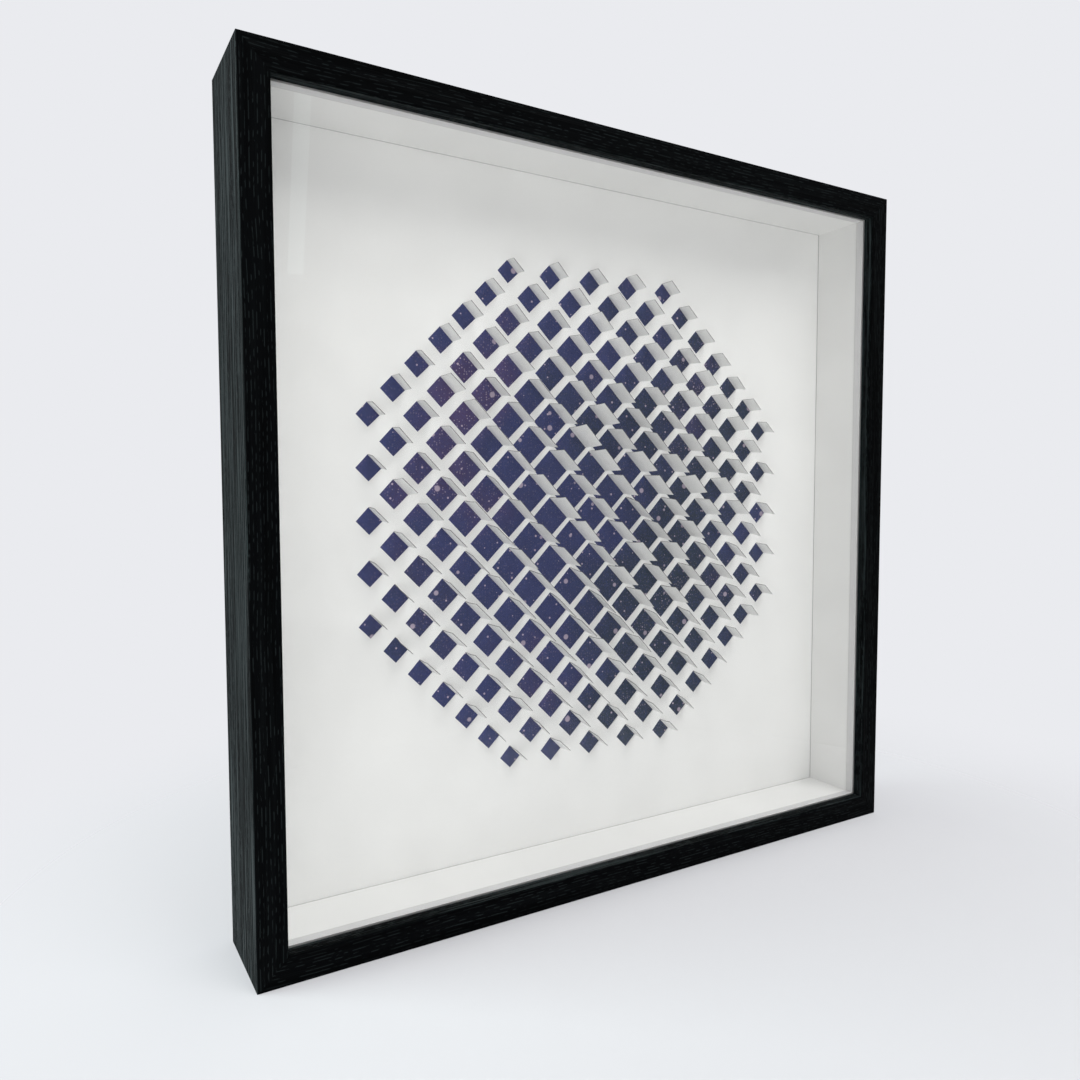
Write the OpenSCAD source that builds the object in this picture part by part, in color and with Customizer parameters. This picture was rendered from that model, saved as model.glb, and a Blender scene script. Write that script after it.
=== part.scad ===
// Deep box frame with a cut and folded paper sheet behind glass.
// The frame stands upright: X runs across it, Y from the front to the wall, and Z up.
// The origin is under the middle of the bottom rail. All sizes are in millimetres.

/* [Frame] */
// Outside width of the frame
frame_w = 500; // [420:5:700]
// Outside height of the frame
frame_h = 500; // [420:5:700]
// Depth of the moulding, front to back
frame_d = 66; // [64:1:90]
// Width of the moulding's front face
face_w = 17; // [15:0.5:24]
// Thickness of the moulding's side wall
wall_t = 10; // [8:0.5:12]
// Thickness of the front lip
lip_t = 8; // [4:0.5:10]
// Radius of the eased front edges
front_round = 1.2; // [0.5:0.1:2]
// Radius of the eased outer back edge
back_round = 2; // [0.5:0.1:3]

/* [Glazing and spacers] */
// Clearance round the glass and the boards
board_gap = 1; // [0.5:0.1:2]
// Thickness of the glass
glass_t = 2; // [1.5:0.1:3]
// Thickness of the window slip behind the glass
slip_t = 6; // [3:0.5:8]
// Thickness of the white spacer strips
spacer_t = 6.5; // [5:0.5:8]
// Depth of the white spacer strips
spacer_d = 39; // [36:1:40]

/* [Boards] */
// Thickness of the folded white sheet
sheet_t = 0.4; // [0.3:0.05:0.6]
// Thickness of the dark sheet behind it
night_t = 0.2; // [0.1:0.05:0.4]
// Thickness of the mount board
mount_t = 1.4; // [1:0.1:2]
// Thickness of the backing board
board_t = 2.5; // [2:0.1:3]

/* [Flaps] */
// Distance between neighbouring flaps in a level row
flap_pitch = 33; // [30:0.5:44]
// Radius of the round field of flaps
field_radius = 178; // [120:1:180]
// Side of a square flap in the middle of the field
flap_side = 20; // [14:0.5:20.5]
// Side of a square flap at the rim of the field
rim_side = 11; // [8:0.5:20]
// Angle through which the flaps are folded up
fold_deg = 84; // [75:1:95]
// How far single flaps stray from that angle
fold_stray_deg = 6; // [0:1:8]
// Relief cut in the window beside each end of a fold
fold_nick = 0.3; // [0.2:0.05:0.5]

/* [Fixings] */
// Number of bendable tabs along each rail
tabs_a_side = 3; // [2:1:5]
// Distance between two tabs
tab_pitch = 150; // [100:5:180]
// Width of a tab
tab_w = 8; // [6:0.5:10]
// Thickness of a tab
tab_t = 0.5; // [0.4:0.1:1]
// Length of a tab over the backing board
tab_reach = 10; // [6:0.5:14]
// Length of a tab's point in the rail
tab_bite = 6; // [4:0.5:7]
// Length of each leg of a corner nail
nail_leg = 5.5; // [4:0.5:7]
// Thickness of a corner nail
nail_t = 0.6; // [0.4:0.1:1]
// Depth of a corner nail in the back of the frame
nail_d = 10; // [6:1:14]

/* [Hanger] */
// Length of the sawtooth hanger
hanger_w = 46; // [42:1:60]
// Height of the sawtooth hanger
hanger_h = 11; // [10:0.5:14]
// Thickness of the hanger's steel
hanger_t = 0.8; // [0.6:0.1:1.2]
// Height of the hanger's bridge over the backing board
hanger_rise = 2; // [1.5:0.1:3]
// Length of the hanger's bridge
bridge_w = 22; // [18:1:26]
// Distance of the hanger's middle from the top of the frame
hanger_drop = 45; // [35:1:80]
// Distance between two teeth of the hanger
tooth_pitch = 2.6; // [2:0.1:3]
// Depth of the hanger's teeth
tooth_d = 1.6; // [1:0.1:2]
// Number of teeth on the hanger
tooth_count = 7; // [3:2:7]
// Radius of the rivets' shanks
rivet_r = 1.6; // [1.2:0.1:2]
// Radius of the rivets' heads
rivet_head_r = 3; // [2.4:0.1:3.5]
// Height of the rivets' heads
rivet_head_h = 0.8; // [0.5:0.1:1]

/* [Hidden] */
$fn = 48;

// The glass and the boards fill the cavity behind the lip
board_w = frame_w - 2 * (wall_t + board_gap);
board_h = frame_h - 2 * (wall_t + board_gap);
window_w = board_w - 2 * spacer_t;
window_h = board_h - 2 * spacer_t;
middle_z = frame_h / 2;

// Front face of each layer, from the front of the frame to the wall
front_y = -frame_d / 2;
back_y = frame_d / 2;
glass_y = front_y + lip_t;
slip_y = glass_y + glass_t;
spacer_y = slip_y + slip_t;
sheet_y = spacer_y + spacer_d;
night_y = sheet_y + sheet_t;
mount_y = night_y + night_t;
board_y = mount_y + mount_t;
tab_y = board_y + board_t;

// The root of a raised flap laps the edge of its window by half the paper
fold_lap = sheet_t / 2;
fold_root = sheet_t / 2;

// Middles of the windows, in level rows that are shifted by half a step from one to the next
row_reach = floor(field_radius / (flap_pitch / 2));
step_reach = ceil(field_radius / flap_pitch);
flap_places = [
    for (row = [-row_reach : row_reach], step = [-step_reach : step_reach])
        let (place = [step + (row % 2 == 0 ? 0 : 0.5), row / 2] * flap_pitch)
        if (norm(place) <= field_radius) place
];

hanger_z = frame_h - hanger_drop;
bridge_slope = hanger_rise;
rivet_x = (hanger_w + bridge_w) / 4 + bridge_slope / 2;
rivet_clearance = 0.05;

wood = "#14181a";
paper_white = "#f1f1ee";
foam_white = "#ebebe8";
night = "#363560";
steel = "#b9bcc0";

// A flat sheet of the given size, with its front face at y and its middle at the middle of the frame
module panel(w, h, t, y) {
    translate([-w / 2, y, middle_z - h / 2]) cube([w, t, h]);
}

// Puts a drawing on the XY plane upright, with its back at y, facing the front
module upright(y) {
    translate([0, y, middle_z]) rotate([90, 0, 0]) children();
}

// What is left outside a quarter circle at a square corner, for easing that corner
module corner_waste(r) {
    difference() {
        square(r);
        translate([r, r]) circle(r);
    }
}

// Section of the moulding: X from the front to the wall, Y from the outside in
module moulding_section() {
    difference() {
        polygon([
            [0, 0], [frame_d, 0], [frame_d, wall_t],
            [lip_t, wall_t], [lip_t, face_w], [0, face_w]
        ]);
        corner_waste(front_round);
        translate([0, face_w]) mirror([0, 1]) corner_waste(front_round);
        translate([frame_d, 0]) mirror([1, 0]) corner_waste(back_round);
    }
}

// Outline of a rail seen from the front, mitred at both ends
module mitred_outline(length) {
    polygon([
        [-length / 2, 0], [length / 2, 0],
        [length / 2 - face_w, face_w], [-length / 2 + face_w, face_w]
    ]);
}

// A rail as it lies at the bottom of the frame, with slots for its tabs and corner nails
module rail(length) {
    difference() {
        intersection() {
            translate([-length / 2, front_y, 0]) rotate([90, 0, 90])
                linear_extrude(length) moulding_section();
            translate([0, back_y, 0]) rotate([90, 0, 0])
                linear_extrude(frame_d) mitred_outline(length);
        }
        rail_tabs();
        for (side = [-1, 1])
            scale_side(side) translate([-length / 2, 0, 0]) corner_nail();
    }
}

// Mirrors its children to the other end of a rail
module scale_side(side) {
    mirror([side > 0 ? 1 : 0, 0, 0]) children();
}

// Turns a rail from the bottom of the frame to the side at the given angle
module to_side(angle) {
    reach = angle % 180 == 0 ? frame_h / 2 : frame_w / 2;
    translate([0, 0, middle_z]) rotate([0, angle, 0]) translate([0, 0, -reach]) children();
}

module bottom_rail() {
    color(wood) rail(frame_w);
}

module top_rail() {
    color(wood) to_side(180) rail(frame_w);
}

module left_rail() {
    color(wood) to_side(90) rail(frame_h);
}

module right_rail() {
    color(wood) to_side(270) rail(frame_h);
}

// A bent nail across the mitre at the left end of a rail, driven in from the back
module corner_nail() {
    middle = wall_t / 2;
    near = middle - nail_t / 2;
    far = middle + nail_t / 2;
    end = near + nail_leg;
    translate([0, back_y, 0]) rotate([90, 0, 0]) linear_extrude(nail_d)
        polygon([[near, near], [end, near], [end, far], [far, far], [far, end], [near, end]]);
}

module corner_nails() {
    color(steel)
        for (x_side = [0, 1], z_side = [0, 1])
            translate([0, 0, middle_z]) mirror([x_side, 0, 0]) mirror([0, 0, z_side])
                translate([-frame_w / 2, 0, -frame_h / 2]) corner_nail();
}

// Tabs along the bottom rail, each with its point in the wood and its end over the backing board
module rail_tabs() {
    for (i = [0 : tabs_a_side - 1])
        translate([(i - (tabs_a_side - 1) / 2) * tab_pitch, tab_y + tab_t, wall_t])
            rotate([90, 0, 0]) linear_extrude(tab_t)
                polygon([
                    [0, -tab_bite], [tab_w / 2, -tab_bite / 2], [tab_w / 2, tab_reach],
                    [-tab_w / 2, tab_reach], [-tab_w / 2, -tab_bite / 2]
                ]);
}

module backing_tabs() {
    color(steel)
        for (angle = [0 : 90 : 270])
            to_side(angle) rail_tabs();
}

module glazing() {
    color("#dfe8e6", 0.3) panel(board_w, board_h, glass_t, glass_y);
}

module window_slip() {
    color(foam_white) difference() {
        panel(board_w, board_h, slip_t, slip_y);
        panel(window_w, window_h, 3 * slip_t, slip_y - slip_t);
    }
}

// A spacer strip across the frame, with its lower face at z
module level_spacer(z) {
    color(foam_white) translate([-board_w / 2, spacer_y, z])
        cube([board_w, spacer_d, spacer_t]);
}

// A spacer strip up the frame, between the level ones, with its left face at x
module upright_spacer(x) {
    color(foam_white) translate([x, spacer_y, middle_z - window_h / 2])
        cube([spacer_t, spacer_d, window_h]);
}

module bottom_spacer() {
    level_spacer(middle_z - board_h / 2);
}

module top_spacer() {
    level_spacer(middle_z + window_h / 2);
}

module left_spacer() {
    upright_spacer(-board_w / 2);
}

module right_spacer() {
    upright_spacer(window_w / 2);
}

// Side of flap i, which shrinks from the middle of the field to its rim
function side_of(i) = flap_side - (flap_side - rim_side) * pow(norm(flap_places[i]) / field_radius, 2);

// Angle of flap i's fold
function fold_of(i) = fold_deg + fold_stray_deg * sin(i * 71) * cos(i * 29);

// Outline of a flap, from its fold at x = lap to its free edge
function flap_outline(side, lap, nick) = [
    [lap, -side / 2 - nick], [lap, side / 2 + nick], [-side, side / 2], [-side, -side / 2]
];

// Moves its children to the fold on flap i's upper right side, with +X pointing out of the window
module at_fold(i) {
    translate(flap_places[i]) rotate([0, 0, 45]) translate([side_of(i) / 2, 0, 0]) children();
}

// The white sheet with its windows
module windowed_sheet() {
    linear_extrude(sheet_t) difference() {
        square([board_w, board_h], center = true);
        for (i = [0 : len(flap_places) - 1])
            at_fold(i) polygon(flap_outline(side_of(i), -fold_lap, fold_nick));
    }
}

// A flap folded up about the front of the sheet, with its root in the edge of the window
module raised_flap(i) {
    at_fold(i)
        translate([0, 0, sheet_t]) rotate([0, fold_of(i), 0]) translate([0, 0, -sheet_t])
            linear_extrude(sheet_t) polygon(flap_outline(side_of(i), fold_root, 0));
}

module folded_sheet() {
    color(paper_white) upright(night_y) {
        windowed_sheet();
        for (i = [0 : len(flap_places) - 1])
            raised_flap(i);
    }
}

module night_sheet() {
    color(night) panel(board_w, board_h, night_t, night_y);
}

module mount_board() {
    color(foam_white) panel(board_w, board_h, mount_t, mount_y);
}

module backing_board() {
    color("#7b5b3e") difference() {
        panel(board_w, board_h, board_t, board_y);
        at_rivets() rivet_seat();
    }
}

// Moves its children to each rivet, at the back of the backing board, with +Z towards the wall
module at_rivets() {
    for (side = [-1, 1])
        translate([side * rivet_x, tab_y, hanger_z]) rotate([-90, 0, 0]) children();
}

// Hole and countersink of a rivet in the backing board
module rivet_seat() {
    translate([0, 0, -2 * board_t]) cylinder(r = rivet_r + rivet_clearance, h = 3 * board_t);
    translate([0, 0, -board_t - rivet_head_h])
        cylinder(r = rivet_head_r + rivet_clearance, h = 2 * rivet_head_h);
}

// A rivet with a flat head sunk in the front of the board and a domed head on the hanger
module rivet() {
    dome_r = (rivet_head_r * rivet_head_r + rivet_head_h * rivet_head_h) / (2 * rivet_head_h);
    translate([0, 0, -board_t]) cylinder(r = rivet_head_r, h = rivet_head_h);
    translate([0, 0, -board_t]) cylinder(r = rivet_r, h = board_t + hanger_t + rivet_head_h / 2);
    translate([0, 0, hanger_t]) intersection() {
        cylinder(r = rivet_head_r, h = rivet_head_h);
        translate([0, 0, rivet_head_h - dome_r]) sphere(dome_r);
    }
}

module hanger_rivets() {
    color(steel) at_rivets() rivet();
}

// Height of the hanger's underside over the board along its length
function hanger_path() = [
    [-hanger_w / 2, 0], [-bridge_w / 2 - bridge_slope, 0], [-bridge_w / 2, hanger_rise],
    [bridge_w / 2, hanger_rise], [bridge_w / 2 + bridge_slope, 0], [hanger_w / 2, 0]
];

function reversed(list) = [for (i = [len(list) - 1 : -1 : 0]) list[i]];

// Pressed steel strip with a raised bridge and teeth along the bridge's lower edge
module sawtooth_hanger() {
    under = hanger_path();
    over = [for (p = reversed(under)) p + [0, hanger_t]];
    color(steel) difference() {
        translate([0, tab_y, hanger_z - hanger_h / 2])
            linear_extrude(hanger_h) polygon(concat(under, over));
        at_rivets() cylinder(r = rivet_r + rivet_clearance, h = 4 * hanger_t, center = true);
        for (i = [0 : tooth_count - 1])
            translate([(i - (tooth_count - 1) / 2) * tooth_pitch, back_y, hanger_z - hanger_h / 2])
                rotate([90, 0, 0]) linear_extrude(back_y - tab_y)
                    polygon([[-tooth_pitch / 2, -1], [0, tooth_d], [tooth_pitch / 2, -1]]);
    }
}

top_rail();
bottom_rail();
left_rail();
right_rail();
corner_nails();
glazing();
window_slip();
top_spacer();
bottom_spacer();
left_spacer();
right_spacer();
folded_sheet();
night_sheet();
mount_board();
backing_board();
backing_tabs();
sawtooth_hanger();
hanger_rivets();
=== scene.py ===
"""Dresses a packed box frame with folded paper in it: stained wood, glass, board, paper and steel.

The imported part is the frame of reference. Every rigid node keeps its own shape and gets a finish here.
The cut sheet is made again from its node, with flaps that curl as paper does.
"""

import math
import random

import bmesh
import bpy
from mathutils import Matrix, Vector


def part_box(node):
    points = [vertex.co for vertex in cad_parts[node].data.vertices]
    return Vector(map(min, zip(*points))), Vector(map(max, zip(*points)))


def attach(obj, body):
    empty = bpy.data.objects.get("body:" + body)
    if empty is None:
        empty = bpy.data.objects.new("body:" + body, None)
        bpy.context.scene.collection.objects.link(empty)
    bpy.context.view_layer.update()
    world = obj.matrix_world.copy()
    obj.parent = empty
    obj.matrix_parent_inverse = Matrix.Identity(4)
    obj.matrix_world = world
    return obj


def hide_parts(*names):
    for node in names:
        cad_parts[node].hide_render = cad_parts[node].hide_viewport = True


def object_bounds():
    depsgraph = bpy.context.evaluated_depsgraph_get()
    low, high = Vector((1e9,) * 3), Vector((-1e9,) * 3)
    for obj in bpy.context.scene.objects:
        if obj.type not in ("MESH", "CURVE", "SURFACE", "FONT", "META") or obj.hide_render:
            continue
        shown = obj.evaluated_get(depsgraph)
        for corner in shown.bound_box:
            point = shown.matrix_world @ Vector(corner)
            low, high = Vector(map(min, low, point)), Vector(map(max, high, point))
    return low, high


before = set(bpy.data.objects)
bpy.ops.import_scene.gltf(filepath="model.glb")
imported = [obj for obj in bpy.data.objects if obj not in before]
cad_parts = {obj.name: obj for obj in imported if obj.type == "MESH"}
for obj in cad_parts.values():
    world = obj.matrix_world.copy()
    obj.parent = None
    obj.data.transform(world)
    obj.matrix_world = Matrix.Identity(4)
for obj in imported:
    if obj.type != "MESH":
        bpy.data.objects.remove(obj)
CAD_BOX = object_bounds()

bl_info = {
    "name": "Box Frame With Folded Paper",
    "version": (1, 0, 0),
    "blender": (4, 5, 0),
    "location": "3D View > Sidebar > Box Frame",
    "description": "Gives a packed box frame its wood, glass, paper and board, and sets up its stage",
    "category": "Object",
}

BODY = "root"
MILLIMETRE = 0.001
CUT_EDGE = 1

# The flaps are folded on their upper right side
FOLD_SIDE = Vector((1.0, 0.0, 1.0)).normalized()

# A raised face that leans less than this towards the fold's side is part of the cut edge
CUT_LEAN = 0.5

# How the copy of the cut sheet is welded, parted into flaps, sliced and shaded
WELD_GAP = 0.002 * MILLIMETRE
RAISED_BY = 0.1 * MILLIMETRE
SLICE_STEP = 3.0 * MILLIMETRE
ON_SLICE = 1e-7
SHARP_FOLD = math.radians(25)

# Range of the flaps' curl, as a share of the curl that is set, and of their twist
CURL_RANGE = (-0.7, 1.3)
TWIST_RANGE = (-0.05, 0.05)
DRAW_SEED = 7

# Cell, radius in cells, share of cells filled and cover of the print's large and small specks
PRINT_SPECKS = ((0.021, 0.115, 0.5, 0.75), (0.0095, 0.095, 0.5, 0.95))

# Radius of the floor, and the distances at which it starts to thin out and is gone
FLOOR_RADIUS = 3.0
FLOOR_SOLID = 0.12
FLOOR_GONE = 0.6

# Place, width and colour of each softbox
SOFTBOXES = {
    "Key": ((0.4, -1.15, 1.75), 1.1, (1.0, 0.985, 0.97)),
    "Fill": ((-0.85, -1.45, -0.4), 2.0, (1.0, 0.99, 0.98)),
    "Side": ((-1.4, 0.45, 0.6), 0.8, (0.88, 1.0, 0.99)),
    "Strip": ((0.195, -1.5, 1.0), 0.036, (0.85, 1.0, 0.98)),
}
STRIP_LENGTH = 0.5

LEVEL_RAILS = ("top_rail", "bottom_rail")
UPRIGHT_RAILS = ("left_rail", "right_rail")
SPACERS = ("top_spacer", "bottom_spacer", "left_spacer", "right_spacer")
STEEL_PARTS = ("corner_nails", "backing_tabs", "sawtooth_hanger", "hanger_rivets")


def colour_prop(name, description, default):
    """A colour that a user can change."""
    return bpy.props.FloatVectorProperty(
        name=name, description=description, subtype="COLOR", size=3, min=0.0, max=1.0, default=default
    )


def length_prop(name, description, default):
    """A length that a user can change, in metres."""
    return bpy.props.FloatProperty(
        name=name, description=description, unit="LENGTH", precision=4, default=default
    )


def share_prop(name, description, default):
    """A share that a user can change."""
    return bpy.props.FloatProperty(
        name=name, description=description, subtype="FACTOR", min=0.0, max=1.0, default=default
    )


def power_prop(name, description, default):
    """A lamp's power that a user can change, in watts."""
    return bpy.props.FloatProperty(
        name=name, description=description, unit="POWER", min=0.0, precision=3, default=default
    )


def angle_prop(name, description, degrees):
    """An angle that a user can change."""
    return bpy.props.FloatProperty(
        name=name, description=description, subtype="ANGLE", default=math.radians(degrees)
    )


class BoxFrameWood(bpy.types.PropertyGroup):
    """Finish of the rails."""

    stain: colour_prop("Stain", "Colour of the black stain between the pores", (0.0010, 0.0012, 0.0014))
    pore: colour_prop("Pores", "Colour of the open pores, with thin stain", (0.032, 0.043, 0.044))
    # Painted sheen: the grain shows fully on the rails' sides, and only this share of it on the front
    front_sheen_share: share_prop("Front share", "Share of the grain's paleness left on the front", 0.3)
    heart: length_prop("Heart", "How far behind the frame the heart of the tree lies", 0.3)
    pore_depth: length_prop("Pore depth", "How deep the pores are", 0.00025)


class BoxFramePaper(bpy.types.PropertyGroup):
    """Finish of the cut sheet and of the dark sheet behind it."""

    white: colour_prop("White", "Colour of the cut sheet", (0.86, 0.86, 0.85))
    # The cut edges are dark grey: painted shade along the flaps' outlines
    shaded_cut_edge: colour_prop("Cut edge", "Colour of the flaps' cut edges", (0.16, 0.157, 0.155))
    fibre_depth: length_prop("Fibre depth", "How rough the paper is", 0.00004)
    flap_curl: share_prop("Flap curl", "How far the flaps curl, as a share of their height", 0.09)
    indigo: colour_prop("Indigo", "Main colour of the dark sheet", (0.024, 0.033, 0.122))
    violet: colour_prop("Violet", "Colour of its violet clouds", (0.060, 0.034, 0.115))
    slate: colour_prop("Slate", "Colour of its slate clouds", (0.013, 0.026, 0.050))
    speck: colour_prop("Specks", "Colour of its pale specks", (0.52, 0.43, 0.52))


class BoxFrameBoards(bpy.types.PropertyGroup):
    """Finish of the white boards and the backing board."""

    spacer: colour_prop("Spacers", "Colour of the white spacers", (0.88, 0.88, 0.87))
    # The slip is greyer than the spacers: painted shade from the rails' lip in front of it
    slip: colour_prop("Slip", "Colour of the slip by the glass", (0.735, 0.732, 0.738))
    backing: colour_prop("Backing", "Colour of the fibreboard", (0.185, 0.098, 0.046))
    backing_fleck: colour_prop("Backing flecks", "Colour of its darker fibres", (0.085, 0.042, 0.020))


class BoxFrameGlassSteel(bpy.types.PropertyGroup):
    """Finish of the glass and the fixings."""

    glass: colour_prop("Glass", "Tint of the glass", (0.99, 0.995, 0.992))
    steel: colour_prop("Steel", "Colour of the plated steel", (0.56, 0.57, 0.58))


class BoxFrameStage(bpy.types.PropertyGroup):
    """Floor, light and camera."""

    floor: colour_prop("Floor", "Colour of the floor", (0.95, 0.955, 0.975))
    backdrop: colour_prop("Backdrop", "Colour of the space round the object", (0.823, 0.831, 0.863))
    around: share_prop("Around", "Light from all round", 0.55)
    key_power: power_prop("Key", "Power of the key light", 11.5)
    fill_power: power_prop("Fill", "Power of the fill light", 14.0)
    side_power: power_prop("Side", "Power of the side light", 16.0)
    strip_power: power_prop("Strip", "Power of the narrow light", 0.028)
    camera_place: bpy.props.FloatVectorProperty(
        name="Camera", description="Place of the camera", subtype="TRANSLATION", size=3,
        default=(-0.3464, -0.4900, 0.2695),
    )
    camera_turn: angle_prop("Camera turn", "Turn of the camera from straight ahead to the right", 30.82)
    camera_tilt: angle_prop("Camera tilt", "Tilt of the camera below the level", 3.39)
    camera_roll: angle_prop("Camera roll", "Roll of the camera", -0.15)
    lens: bpy.props.FloatProperty(
        name="Lens", description="Focal length", subtype="DISTANCE_CAMERA", default=28.54
    )


class BoxFrameSettings(bpy.types.PropertyGroup):
    """Everything that can be changed."""

    wood: bpy.props.PointerProperty(type=BoxFrameWood)
    paper: bpy.props.PointerProperty(type=BoxFramePaper)
    boards: bpy.props.PointerProperty(type=BoxFrameBoards)
    glass_steel: bpy.props.PointerProperty(type=BoxFrameGlassSteel)
    stage: bpy.props.PointerProperty(type=BoxFrameStage)


# Node helpers


def add_node(tree, kind, settings=None, inputs=None):
    """Adds a node, with its settings and the values of its inputs."""
    node = tree.nodes.new(kind)
    for name, value in (settings or {}).items():
        setattr(node, name, value)
    for name, value in (inputs or {}).items():
        node.inputs[name].default_value = value
    return node


def math_node(tree, operation, first, second=0.0, clamp=False):
    """Adds a Math node. Each operand is a number or a socket, and some operations need only one."""
    node = add_node(tree, "ShaderNodeMath", {"operation": operation, "use_clamp": clamp})
    for index, operand in enumerate((first, second)):
        if isinstance(operand, (int, float)):
            node.inputs[index].default_value = operand
        else:
            tree.links.new(operand, node.inputs[index])
    return node.outputs["Value"]


def mix_colour(tree, factor, first, second):
    """Adds a colour mix. The factor is a socket, and each colour is a socket or a colour."""
    node = add_node(tree, "ShaderNodeMix", {"data_type": "RGBA"})
    tree.links.new(factor, node.inputs["Factor"])
    for name, value in (("A", first), ("B", second)):
        socket = next(s for s in node.inputs if s.name == name and s.type == "RGBA")
        if isinstance(value, bpy.types.NodeSocket):
            tree.links.new(value, socket)
        else:
            socket.default_value = (*value, 1.0)
    return next(s for s in node.outputs if s.type == "RGBA")


def toned(colour, share):
    """A colour made darker or paler."""
    return [share * c for c in colour]


def stretch(tree, vector, scale):
    """Multiplies a vector by a scale for each axis."""
    node = add_node(tree, "ShaderNodeVectorMath", {"operation": "MULTIPLY"})
    tree.links.new(vector, node.inputs[0])
    node.inputs[1].default_value = scale
    return node.outputs["Vector"]


def noise(tree, vector, scale=1.0, detail=2.0, roughness=0.5):
    """Adds a noise texture and returns its value."""
    node = add_node(
        tree, "ShaderNodeTexNoise", None, {"Scale": scale, "Detail": detail, "Roughness": roughness}
    )
    tree.links.new(vector, node.inputs["Vector"])
    return node.outputs["Fac"]


def ramp(tree, value, low, high, to_low=0.0, to_high=1.0):
    """Maps a value from low-high to to_low-to_high with soft ends."""
    node = add_node(
        tree, "ShaderNodeMapRange", {"interpolation_type": "SMOOTHSTEP"},
        {"From Min": low, "From Max": high, "To Min": to_low, "To Max": to_high},
    )
    tree.links.new(value, node.inputs["Value"])
    return node.outputs["Result"]


def object_place(tree):
    """Object coordinates, in metres."""
    return add_node(tree, "ShaderNodeTexCoord").outputs["Object"]


def place_group(tree, group, vector, inputs=None):
    """Places a shared group on a vector, with its own values."""
    node = add_node(tree, "ShaderNodeGroup", {"node_tree": group}, inputs)
    tree.links.new(vector, node.inputs["Vector"])
    return node


def add_bump(tree, shader, height, distance):
    """Drives a shader's normal by a height."""
    bump = add_node(tree, "ShaderNodeBump", None, {"Strength": 1.0, "Distance": distance})
    tree.links.new(height, bump.inputs["Height"])
    tree.links.new(bump.outputs["Normal"], shader.inputs["Normal"])


def new_finish(name, inputs):
    """A new material with its Principled shader's plain values set."""
    material = bpy.data.materials.new(name)
    material.use_nodes = True
    shader = material.node_tree.nodes["Principled BSDF"]
    for socket, value in inputs.items():
        shader.inputs[socket].default_value = value
    return material, material.node_tree, shader


def dress(nodes, material):
    """Gives CAD nodes a finish."""
    for name in nodes:
        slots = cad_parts[name].data.materials
        slots.clear()
        slots.append(material)


# Shared groups


def new_group(name, inputs, outputs):
    """A shader node group with float inputs beside its vector, and the named outputs."""
    group = bpy.data.node_groups.new(name, "ShaderNodeTree")
    group.interface.new_socket("Vector", in_out="INPUT", socket_type="NodeSocketVector")
    for socket, default in inputs.items():
        made = group.interface.new_socket(socket, in_out="INPUT", socket_type="NodeSocketFloat")
        made.default_value = default
    for socket in outputs:
        group.interface.new_socket(socket, in_out="OUTPUT", socket_type="NodeSocketFloat")
    entry = group.nodes.new("NodeGroupInput")
    leave = group.nodes.new("NodeGroupOutput")
    return group, entry.outputs, leave.inputs


def open_grain_group():
    """Open grain along X, in rings about that axis: rows of short pores, thin streaks and a slow tone."""
    # Waves to the metre, along the grain and twice across it, and how far the grain sways
    figure_waves = (4.0, 110.0, 110.0)
    pore_waves = (190.0, 480.0, 480.0)
    streak_waves = (8.0, 420.0, 420.0)
    sway_waves = 9.0
    sway = (0.0, 0.005, 0.005)
    group, entry, leave = new_group("Open Grain", {"Ring": 0.0012}, ("Pores", "Streaks", "Figure"))
    wander = add_node(group, "ShaderNodeTexNoise", None, {"Scale": sway_waves, "Detail": 1.0})
    group.links.new(entry["Vector"], wander.inputs["Vector"])
    swayed = add_node(group, "ShaderNodeVectorMath", {"operation": "ADD"})
    group.links.new(entry["Vector"], swayed.inputs[0])
    group.links.new(stretch(group, wander.outputs["Color"], sway), swayed.inputs[1])
    fibre = swayed.outputs["Vector"]
    figure = noise(group, stretch(group, fibre, figure_waves))
    heart = add_node(group, "ShaderNodeVectorMath", {"operation": "LENGTH"})
    group.links.new(stretch(group, fibre, (0.0, 1.0, 1.0)), heart.inputs[0])
    ring = math_node(group, "DIVIDE", heart.outputs["Value"], entry["Ring"])
    turns = math_node(group, "MULTIPLY", math_node(group, "ADD", ring, figure), 2 * math.pi)
    rows = ramp(group, math_node(group, "SINE", turns), 0.25, 0.95)
    dashes = ramp(group, noise(group, stretch(group, fibre, pore_waves), detail=1.0), 0.47, 0.58)
    bands = ramp(group, figure, 0.3, 0.6, to_low=0.35)
    pores = math_node(group, "MULTIPLY", math_node(group, "MULTIPLY", rows, dashes), bands)
    streaks = noise(group, stretch(group, fibre, streak_waves), detail=3.0, roughness=0.65)
    group.links.new(pores, leave["Pores"])
    group.links.new(ramp(group, streaks, 0.43, 0.66), leave["Streaks"])
    group.links.new(figure, leave["Figure"])
    return group


def fibre_group():
    """Fibres of paper and board: fine relief, and a faint cloudiness. The group is built once."""
    name = "Paper Fibre"
    if name in bpy.data.node_groups:
        return bpy.data.node_groups[name]
    group, entry, leave = new_group(name, {"Size": 0.0006}, ("Relief", "Cloud"))
    grain = add_node(group, "ShaderNodeVectorMath", {"operation": "SCALE"})
    group.links.new(entry["Vector"], grain.inputs[0])
    group.links.new(math_node(group, "DIVIDE", 1.0, entry["Size"]), grain.inputs["Scale"])
    relief = noise(group, grain.outputs["Vector"], detail=3.0, roughness=0.65)
    group.links.new(relief, leave["Relief"])
    group.links.new(noise(group, entry["Vector"], 24.0), leave["Cloud"])
    return group


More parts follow.
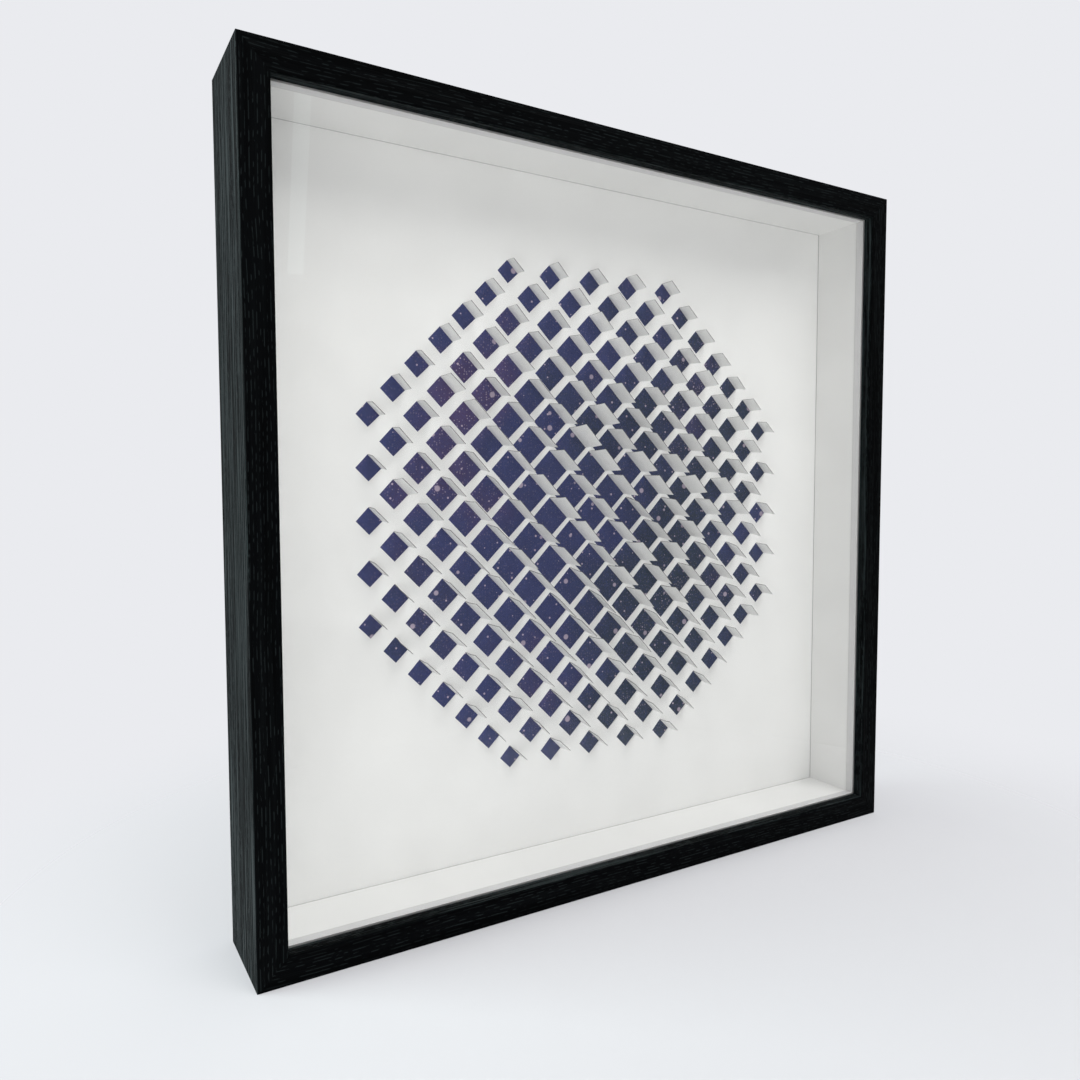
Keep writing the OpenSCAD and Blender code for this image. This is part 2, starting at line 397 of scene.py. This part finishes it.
def specks_group():
    """Round specks of different sizes on a sheet in the XZ plane, scattered one to a cell."""
    # Smallest radius as a share of the largest, and width of the soft rim in cells
    smallest = 0.45
    soft_rim = 0.03
    group, entry, leave = new_group("Specks", {"Cell": 0.02, "Radius": 0.2, "Share": 0.3}, ("Specks",))
    upright = add_node(group, "ShaderNodeSeparateXYZ")
    group.links.new(entry["Vector"], upright.inputs["Vector"])
    flat = add_node(group, "ShaderNodeCombineXYZ")
    group.links.new(upright.outputs["X"], flat.inputs["X"])
    group.links.new(upright.outputs["Z"], flat.inputs["Y"])
    cells = add_node(group, "ShaderNodeVectorMath", {"operation": "SCALE"})
    group.links.new(flat.outputs["Vector"], cells.inputs[0])
    group.links.new(math_node(group, "DIVIDE", 1.0, entry["Cell"]), cells.inputs["Scale"])
    scatter = add_node(group, "ShaderNodeTexVoronoi", {"voronoi_dimensions": "2D"}, {"Scale": 1.0})
    group.links.new(cells.outputs["Vector"], scatter.inputs["Vector"])
    draw = add_node(group, "ShaderNodeSeparateColor")
    group.links.new(scatter.outputs["Color"], draw.inputs["Color"])
    kept = math_node(group, "LESS_THAN", draw.outputs["Red"], entry["Share"])
    larger = math_node(group, "MULTIPLY", draw.outputs["Green"], 1.0 - smallest)
    spread = math_node(group, "ADD", larger, smallest)
    reach = math_node(group, "MULTIPLY", spread, entry["Radius"])
    inside = math_node(group, "SUBTRACT", reach, scatter.outputs["Distance"])
    edge = math_node(group, "DIVIDE", inside, soft_rim, clamp=True)
    group.links.new(math_node(group, "MULTIPLY", edge, kept), leave["Specks"])
    return group


# Finishes


def sheen_from_sides_to_front(tree, front, on_sides, on_front):
    """A value that goes from a rail's sides over to its front, for the painted sheen that makes the sides
    paler than the front.
    """
    return ramp(tree, front, 0.3, 0.9, to_low=on_sides, to_high=on_front)


def black_wood(name, wood, grain, turn, heart):
    """Black stained wood, with its grain turned along the rail and its rings about a heart, and a painted
    sheen that shows the grain paler on the sides than on the front.
    """
    material, tree, shader = new_finish(name, {"Specular IOR Level": 0.015})
    mapping = add_node(tree, "ShaderNodeMapping", None, {"Rotation": turn, "Location": heart})
    tree.links.new(object_place(tree), mapping.inputs["Vector"])
    figure = place_group(tree, grain, mapping.outputs["Vector"])
    tone = ramp(tree, figure.outputs["Figure"], 0.3, 0.75)
    stain = mix_colour(tree, tone, wood.stain, toned(wood.stain, 2.2))
    # Painted sheen: pores, streaks and a faint veil of the pore colour show more on the sides than on the
    # front
    facing = add_node(tree, "ShaderNodeSeparateXYZ")
    tree.links.new(add_node(tree, "ShaderNodeTexCoord").outputs["Normal"], facing.inputs["Vector"])
    front = math_node(tree, "ABSOLUTE", facing.outputs["Y"])
    pale = sheen_from_sides_to_front(tree, front, 1.0, wood.front_sheen_share)
    fine = sheen_from_sides_to_front(tree, front, 0.9, 0.03)
    side_sheen_veil = sheen_from_sides_to_front(tree, front, 0.05, 0.0)
    pores = math_node(tree, "MULTIPLY", figure.outputs["Pores"], pale)
    streaks = math_node(tree, "MULTIPLY", figure.outputs["Streaks"], fine)
    # Share of the pore colour: the real pores and streaks, with the painted sheen of the sides
    thin = math_node(tree, "MAXIMUM", math_node(tree, "MAXIMUM", pores, streaks), side_sheen_veil)
    colour = mix_colour(tree, thin, stain, wood.pore)
    tree.links.new(colour, shader.inputs["Base Color"])
    opened = math_node(tree, "MAXIMUM", figure.outputs["Pores"], figure.outputs["Streaks"])
    rough = ramp(tree, opened, 0.0, 1.0, to_low=0.55, to_high=0.36)
    tree.links.new(rough, shader.inputs["Roughness"])
    add_bump(tree, shader, math_node(tree, "SUBTRACT", 1.0, opened), wood.pore_depth)
    return material


def white_stock(name, colour, fibre, size, depth, rough, seam_shades=()):
    """White paper or board with fine fibres, faint clouds and a painted shade line along each seam in Y.
    """
    material, tree, shader = new_finish(name, {"Roughness": rough, "Specular IOR Level": 0.25})
    place = object_place(tree)
    stock = place_group(tree, fibre, place, {"Size": size})
    shade = ramp(tree, stock.outputs["Cloud"], 0.3, 0.7)
    tone = mix_colour(tree, shade, toned(colour, 0.965), colour)
    across = add_node(tree, "ShaderNodeSeparateXYZ")
    tree.links.new(place, across.inputs["Vector"])
    # Painted shade: a grey line along each seam, where the part meets another
    for seam, width, dark in seam_shades:
        off = math_node(tree, "SUBTRACT", across.outputs["Y"], seam)
        away = math_node(tree, "ABSOLUTE", off)
        shade_near_seam = ramp(tree, away, 0.5 * width, width, to_low=dark, to_high=0.0)
        tone = mix_colour(tree, shade_near_seam, tone, toned(colour, 0.25))
    tree.links.new(tone, shader.inputs["Base Color"])
    add_bump(tree, shader, stock.outputs["Relief"], depth)
    return material


def night_print(paper, fibre, specks):
    """Dark print: indigo with violet and slate clouds, fine dust and pale specks of two sizes."""
    material, tree, shader = new_finish("Night print", {"Roughness": 0.72, "Specular IOR Level": 0.3})
    place = object_place(tree)
    violet_noise = noise(tree, place, 6.5, detail=4.0, roughness=0.62)
    violet_cloud = ramp(tree, violet_noise, 0.46, 0.68)
    turned = stretch(tree, place, (-1.0, 1.0, -1.0))
    slate_cloud = ramp(tree, noise(tree, turned, 5.0, detail=3.0, roughness=0.6), 0.5, 0.68)
    ground = mix_colour(tree, violet_cloud, paper.indigo, paper.violet)
    ground = mix_colour(tree, slate_cloud, ground, paper.slate)
    mottle = ramp(tree, noise(tree, place, 700.0, detail=3.0, roughness=0.7), 0.4, 0.75, to_high=0.35)
    colour = mix_colour(tree, mottle, ground, toned(paper.indigo, 2.2))
    dust = place_group(tree, specks, place, {"Cell": 0.0018, "Radius": 0.32, "Share": 0.35})
    dust_cover = ramp(tree, violet_cloud, 0.0, 1.0, to_low=0.1, to_high=0.5)
    dusted = math_node(tree, "MULTIPLY", dust.outputs["Specks"], dust_cover)
    colour = mix_colour(tree, dusted, colour, paper.speck)
    for cell, radius, share, cover in PRINT_SPECKS:
        dots = place_group(tree, specks, place, {"Cell": cell, "Radius": radius, "Share": share})
        covered = math_node(tree, "MULTIPLY", dots.outputs["Specks"], cover)
        colour = mix_colour(tree, covered, colour, paper.speck)
    tree.links.new(colour, shader.inputs["Base Color"])
    stock = place_group(tree, fibre, place, {"Size": 0.0005})
    add_bump(tree, shader, stock.outputs["Relief"], paper.fibre_depth)
    return material


def clear_glass(tint):
    """Clear glass that lets the light of lamps through."""
    material, tree, shader = new_finish(
        "Clear glass",
        {"Base Color": (*tint, 1.0), "Roughness": 0.0, "IOR": 1.5, "Transmission Weight": 1.0},
    )
    path = add_node(tree, "ShaderNodeLightPath")
    clear = add_node(tree, "ShaderNodeBsdfTransparent", None, {"Color": (*tint, 1.0)})
    mix = add_node(tree, "ShaderNodeMixShader")
    tree.links.new(path.outputs["Is Shadow Ray"], mix.inputs["Fac"])
    tree.links.new(shader.outputs["BSDF"], mix.inputs[1])
    tree.links.new(clear.outputs["BSDF"], mix.inputs[2])
    tree.links.new(mix.outputs["Shader"], tree.nodes["Material Output"].inputs["Surface"])
    return material


def fibreboard(boards, fibre):
    """Raw brown fibreboard with darker flecks."""
    plain = {"Roughness": 0.78, "Specular IOR Level": 0.3}
    material, tree, shader = new_finish("Brown fibreboard", plain)
    place = object_place(tree)
    flecks = ramp(tree, noise(tree, place, 900.0, detail=3.0, roughness=0.7), 0.5, 0.75)
    clouds = ramp(tree, noise(tree, place, 14.0, detail=3.0), 0.35, 0.7)
    ground = mix_colour(tree, clouds, boards.backing, toned(boards.backing, 0.92))
    tree.links.new(mix_colour(tree, flecks, ground, boards.backing_fleck), shader.inputs["Base Color"])
    stock = place_group(tree, fibre, place, {"Size": 0.0009})
    add_bump(tree, shader, stock.outputs["Relief"], 0.0001)
    return material


def plated_steel(colour):
    """Bright plated steel with faint rolling marks."""
    material, tree, shader = new_finish("Plated steel", {"Metallic": 1.0})
    place = object_place(tree)
    marks = noise(tree, stretch(tree, place, (300.0, 2600.0, 2600.0)))
    tone = mix_colour(tree, marks, toned(colour, 0.8), colour)
    tree.links.new(tone, shader.inputs["Base Color"])
    rough = ramp(tree, marks, 0.2, 0.8, to_low=0.24, to_high=0.42)
    tree.links.new(rough, shader.inputs["Roughness"])
    return material


# Pieces


def flaps_of(bm, front):
    """Groups the vertices that stand in front of the sheet into flaps, in the order of their places."""
    raised = {v for v in bm.verts if v.co.y < front}
    flaps = []
    while raised:
        reached = [raised.pop()]
        for vert in reached:
            for edge in vert.link_edges:
                other = edge.other_vert(vert)
                if other in raised:
                    raised.remove(other)
                    reached.append(other)
        flaps.append(reached)
    return sorted(flaps, key=lambda flap: min((v.co.x, v.co.z) for v in flap))


def curl_flap(flap, front, curl, twist):
    """Bends a raised flap towards the side it is folded on, and marks the faces of its cut edge."""
    along = Vector((-FOLD_SIDE.z, 0.0, FOLD_SIDE.x))
    centre = sum((v.co for v in flap), Vector()) / len(flap)
    height = max(front - v.co.y for v in flap)
    for vert in flap:
        rise = (front - vert.co.y) / height
        side = (vert.co - centre).dot(along)
        vert.co += FOLD_SIDE * (curl * height * rise * rise + twist * side * rise)
    for face in {f for v in flap for f in v.link_faces}:
        if abs(face.normal.dot(FOLD_SIDE)) < CUT_LEAN:
            face.material_index = CUT_EDGE


def curled_sheet(curl):
    """The cut sheet as a mesh of its own, sliced across its flaps, with each flap curled its own way."""
    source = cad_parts["folded_sheet"].data
    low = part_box("folded_sheet")[0]
    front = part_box("top_spacer")[1].y
    bm = bmesh.new()
    bm.from_mesh(source)
    bmesh.ops.remove_doubles(bm, verts=bm.verts, dist=WELD_GAP)
    level = front - SLICE_STEP / 2
    while level > low.y:
        bmesh.ops.bisect_plane(
            bm, geom=[*bm.verts, *bm.edges, *bm.faces], dist=ON_SLICE,
            plane_co=(0.0, level, 0.0), plane_no=(0.0, 1.0, 0.0),
        )
        level -= SLICE_STEP
    draws = random.Random(DRAW_SEED)
    for flap in flaps_of(bm, front - RAISED_BY):
        curl_flap(flap, front, curl * draws.uniform(*CURL_RANGE), draws.uniform(*TWIST_RANGE))
    for edge in bm.edges:
        edge.smooth = len(edge.link_faces) == 2 and edge.calc_face_angle(math.pi) < SHARP_FOLD
    for face in bm.faces:
        face.smooth = True
    mesh = bpy.data.meshes.new("curled_sheet")
    bm.to_mesh(mesh)
    bm.free()
    return mesh


def add_piece(name, mesh, materials, replaced):
    """Adds a mesh to the part as a piece that rides on the frame and stands for a CAD node."""
    piece = bpy.data.objects.new(name, mesh)
    bpy.context.scene.collection.objects.link(piece)
    for material in materials:
        mesh.materials.append(material)
    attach(piece, BODY)
    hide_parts(replaced)


# Stage


def fading_floor(colour):
    """A pale finish that thins out with distance from the object."""
    plain = {"Base Color": (*colour, 1.0), "Roughness": 0.7, "Specular IOR Level": 0.1}
    material, tree, shader = new_finish("Pale floor", plain)
    away = add_node(tree, "ShaderNodeVectorMath", {"operation": "LENGTH"})
    tree.links.new(object_place(tree), away.inputs[0])
    clear = add_node(tree, "ShaderNodeBsdfTransparent")
    mix = add_node(tree, "ShaderNodeMixShader")
    thinned = ramp(tree, away.outputs["Value"], FLOOR_SOLID, FLOOR_GONE, to_low=0.3)
    tree.links.new(thinned, mix.inputs["Fac"])
    tree.links.new(shader.outputs["BSDF"], mix.inputs[1])
    tree.links.new(clear.outputs["BSDF"], mix.inputs[2])
    tree.links.new(mix.outputs["Shader"], tree.nodes["Material Output"].inputs["Surface"])
    return material


def add_floor(colour, level):
    """A round floor at a level, which lets light from below through."""
    bm = bmesh.new()
    bmesh.ops.create_circle(bm, cap_ends=True, radius=FLOOR_RADIUS, segments=96)
    mesh = bpy.data.meshes.new("floor")
    bm.to_mesh(mesh)
    bm.free()
    mesh.materials.append(fading_floor(colour))
    floor = bpy.data.objects.new("floor", mesh)
    bpy.context.scene.collection.objects.link(floor)
    floor.location.z = level
    floor.visible_shadow = False


def pale_studio(colour, around):
    """A pale backdrop that lights the object less than it shows, and the glass less still."""
    world = bpy.data.worlds.new("Pale studio")
    world.use_nodes = True
    tree = world.node_tree
    backdrop = tree.nodes["Background"]
    backdrop.inputs["Color"].default_value = (*colour, 1.0)
    path = add_node(tree, "ShaderNodeLightPath")
    shown = ramp(tree, path.outputs["Is Camera Ray"], 0.0, 1.0, to_low=around)
    mirrored = ramp(tree, path.outputs["Is Singular Ray"], 0.0, 1.0, to_high=0.5 * around)
    tree.links.new(math_node(tree, "SUBTRACT", shown, mirrored), backdrop.inputs["Strength"])
    return world


def add_softbox(name, target, power):
    """A square soft light at its own place, turned to a target."""
    place, size, colour = SOFTBOXES[name]
    lamp = bpy.data.lights.new(name, "AREA")
    lamp.energy = power
    lamp.size = size
    lamp.color = colour
    holder = bpy.data.objects.new(name, lamp)
    bpy.context.scene.collection.objects.link(holder)
    holder.visible_camera = False
    holder.location = place
    holder.rotation_euler = (Vector(target) - Vector(place)).to_track_quat("-Z", "Y").to_euler()
    return holder


def add_camera(stage):
    """The camera at the photograph's place and angle."""
    data = bpy.data.cameras.new("Photo camera")
    data.sensor_width = 36.0
    data.lens = stage.lens
    data.clip_start = 0.01
    data.clip_end = 100.0
    camera = bpy.data.objects.new("Photo camera", data)
    bpy.context.scene.collection.objects.link(camera)
    turn = Matrix.Rotation(-stage.camera_turn, 4, "Z")
    tilt = Matrix.Rotation(math.pi / 2 - stage.camera_tilt, 4, "X")
    roll = Matrix.Rotation(stage.camera_roll, 4, "Z")
    camera.matrix_world = Matrix.Translation(stage.camera_place) @ turn @ tilt @ roll
    bpy.context.scene.camera = camera


# Operators


class BoxFrameOperator:
    """What the operators share: their settings and their undo."""

    bl_options = {"REGISTER", "UNDO"}

    @property
    def settings(self):
        """The scene's settings."""
        return bpy.context.scene.box_frame


class BOXFRAME_OT_rails(BoxFrameOperator, bpy.types.Operator):
    """Gives the four rails their black stained wood, with the grain along each rail"""

    bl_idname = "box_frame.rails"
    bl_label = "Dress Rails"

    def execute(self, context):
        grain = open_grain_group()
        wood = self.settings.wood
        middle = (CAD_BOX[0] + CAD_BOX[1]) / 2
        level_heart = (0.0, -wood.heart, -middle.z)
        upright_heart = (0.0, -wood.heart, middle.x)
        upright_turn = (0.0, math.pi / 2, 0.0)
        level = black_wood("Black wood, level", wood, grain, (0.0, 0.0, 0.0), level_heart)
        dress(LEVEL_RAILS, level)
        upright = black_wood("Black wood, upright", wood, grain, upright_turn, upright_heart)
        dress(UPRIGHT_RAILS, upright)
        return {"FINISHED"}


class BOXFRAME_OT_glazing(BoxFrameOperator, bpy.types.Operator):
    """Gives the glazing its clear glass"""

    bl_idname = "box_frame.glazing"
    bl_label = "Dress Glazing"

    def execute(self, context):
        dress(["glazing"], clear_glass(self.settings.glass_steel.glass))
        return {"FINISHED"}


class BOXFRAME_OT_boards(BoxFrameOperator, bpy.types.Operator):
    """Gives the slip, the spacers, the mount board and the backing board their finishes"""

    bl_idname = "box_frame.boards"
    bl_label = "Dress Boards"

    def execute(self, context):
        boards = self.settings.boards
        fibre = fibre_group()
        low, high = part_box("top_spacer")
        # Place, width and darkness of the painted shade lines where the spacers meet the slip at the
        # front and the sheet at the back
        seam_shades = ((low.y, 0.5 * MILLIMETRE, 0.45), (high.y, 0.6 * MILLIMETRE, 0.9))
        strip_board = {"size": 0.0008, "depth": 0.00003, "rough": 0.7}
        dress(SPACERS, white_stock("Spacer white", boards.spacer, fibre, **strip_board, seam_shades=seam_shades))
        # The slip's grey is painted shade from the lip
        dress(["window_slip"], white_stock("Slip white", boards.slip, fibre, **strip_board))
        mount = white_stock("Mount white", boards.spacer, fibre, size=0.0006, depth=0.00003, rough=0.8)
        dress(["mount_board"], mount)
        dress(["backing_board"], fibreboard(boards, fibre))
        return {"FINISHED"}


class BOXFRAME_OT_cut_sheet(BoxFrameOperator, bpy.types.Operator):
    """Makes the cut white sheet with its curled flaps"""

    bl_idname = "box_frame.cut_sheet"
    bl_label = "Make Cut Sheet"

    def execute(self, context):
        paper = self.settings.paper
        fibre = fibre_group()
        stock = {"size": 0.0005, "depth": paper.fibre_depth, "rough": 0.85}
        finish = white_stock("White paper", paper.white, fibre, **stock)
        # The flaps' cut edges get a painted shade
        shaded_edge_finish = white_stock("Cut edge", paper.shaded_cut_edge, fibre, **stock)
        mesh = curled_sheet(paper.flap_curl)
        add_piece("cut_sheet", mesh, (finish, shaded_edge_finish), "folded_sheet")
        return {"FINISHED"}


class BOXFRAME_OT_night_sheet(BoxFrameOperator, bpy.types.Operator):
    """Gives the dark sheet its speckled print"""

    bl_idname = "box_frame.night_sheet"
    bl_label = "Dress Dark Sheet"

    def execute(self, context):
        fibre = fibre_group()
        dress(["night_sheet"], night_print(self.settings.paper, fibre, specks_group()))
        return {"FINISHED"}


class BOXFRAME_OT_fixings(BoxFrameOperator, bpy.types.Operator):
    """Gives the nails, tabs, hanger and rivets their plated steel"""

    bl_idname = "box_frame.fixings"
    bl_label = "Dress Fixings"

    def execute(self, context):
        dress(STEEL_PARTS, plated_steel(self.settings.glass_steel.steel))
        return {"FINISHED"}


class BOXFRAME_OT_stage(BoxFrameOperator, bpy.types.Operator):
    """Sets up the floor, the light and the camera"""

    bl_idname = "box_frame.stage"
    bl_label = "Set Stage"

    def execute(self, context):
        stage = self.settings.stage
        low, high = CAD_BOX
        add_floor(stage.floor, low.z)
        context.scene.world = pale_studio(stage.backdrop, stage.around)
        middle = (low + high) / 2
        add_softbox("Key", middle, stage.key_power)
        fill = add_softbox("Fill", middle, stage.fill_power)
        # The large fill would show in the glass from straight ahead
        fill.visible_glossy = False
        add_softbox("Side", middle, stage.side_power)
        strip = add_softbox("Strip", middle, stage.strip_power)
        strip.data.shape = "RECTANGLE"
        strip.data.size_y = STRIP_LENGTH
        add_camera(stage)
        context.scene.view_settings.view_transform = "Standard"
        return {"FINISHED"}


class BOXFRAME_PT_panel(bpy.types.Panel):
    """Lists the pieces and their settings in the sidebar"""

    bl_idname = "BOXFRAME_PT_panel"
    bl_label = "Box Frame"
    bl_space_type = "VIEW_3D"
    bl_region_type = "UI"
    bl_category = "Box Frame"

    def draw(self, context):
        settings = context.scene.box_frame
        for name in ("wood", "paper", "boards", "glass_steel", "stage"):
            group = getattr(settings, name)
            column = self.layout.column(heading=group.bl_rna.description)
            for prop in group.bl_rna.properties.keys():
                if prop not in ("rna_type", "name"):
                    column.prop(group, prop)
        for operator in OPERATORS:
            self.layout.operator(operator.bl_idname)


GROUPS = (
    BoxFrameWood, BoxFramePaper, BoxFrameBoards, BoxFrameGlassSteel, BoxFrameStage, BoxFrameSettings,
)
OPERATORS = (
    BOXFRAME_OT_rails, BOXFRAME_OT_glazing, BOXFRAME_OT_boards, BOXFRAME_OT_cut_sheet,
    BOXFRAME_OT_night_sheet, BOXFRAME_OT_fixings, BOXFRAME_OT_stage,
)


def register():
    """Registers the classes and the scene's settings."""
    for cls in (*GROUPS, *OPERATORS, BOXFRAME_PT_panel):
        bpy.utils.register_class(cls)
    bpy.types.Scene.box_frame = bpy.props.PointerProperty(type=BoxFrameSettings)


def unregister():
    """Takes the settings and the classes away again."""
    del bpy.types.Scene.box_frame
    for cls in reversed((*GROUPS, *OPERATORS, BOXFRAME_PT_panel)):
        bpy.utils.unregister_class(cls)


def main():
    """Makes every piece and the stage."""
    register()
    bpy.ops.box_frame.rails()
    bpy.ops.box_frame.glazing()
    bpy.ops.box_frame.boards()
    bpy.ops.box_frame.cut_sheet()
    bpy.ops.box_frame.night_sheet()
    bpy.ops.box_frame.fixings()
    bpy.ops.box_frame.stage()


if __name__ == "__main__":
    main()
